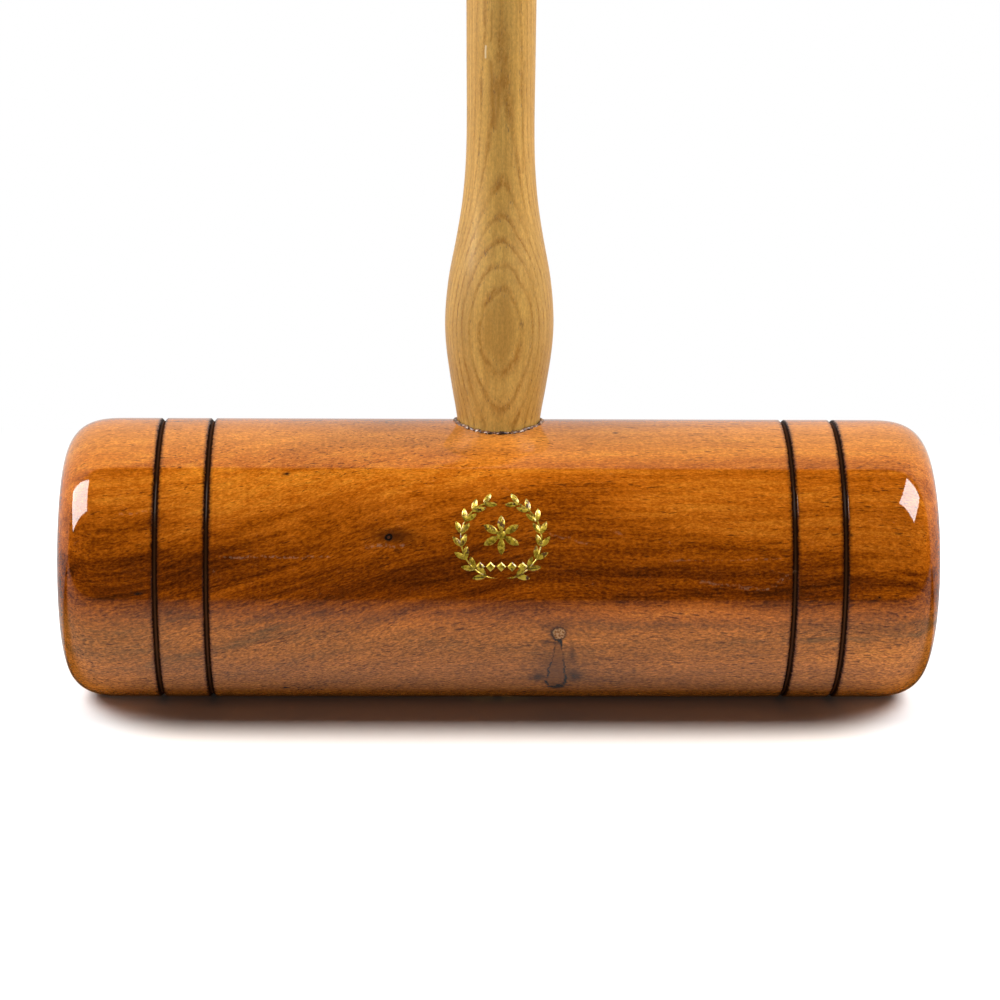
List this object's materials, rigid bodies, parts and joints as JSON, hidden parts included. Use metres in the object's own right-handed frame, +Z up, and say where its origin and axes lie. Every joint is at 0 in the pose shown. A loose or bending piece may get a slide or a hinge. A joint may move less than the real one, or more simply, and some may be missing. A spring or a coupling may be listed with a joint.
{
  "type": "lawn game mallet",
  "caption": "Long-handled wooden mallet: a turned, lacquered cylindrical head with burnt lines, and a tapered ash handle wedged through it.",
  "frame": {"origin": "on the ground under the middle of the head, on the handle's axis", "axes": "+Z up the handle, +X along the head towards the right striking face as seen from the front, and the front with the gilt ornament faces -Y"},
  "size_m": [0.2286, 0.0735, 0.9144],
  "materials": {
    "lacquered_hardwood": "red-brown turned hardwood with long grain along the head, under thick glossy lacquer",
    "pale_ash": "pale flat-sawn ash with a cathedral grain, turned, sanded and thinly varnished",
    "wedge_hardwood": "dark hardwood, trimmed flush and varnished over",
    "set_glue": "dark set glue under lacquer, glossy and uneven",
    "gold_foil": "thin gold foil pressed on the lacquered wood, slightly worn"
  },
  "bodies": {
    "root": {"head": "lacquered_hardwood", "handle": "pale_ash", "wedge": "wedge_hardwood", "shoulder_bead": "set_glue", "gilt_ornament": "gold_foil"}
  },
  "joints": []
}
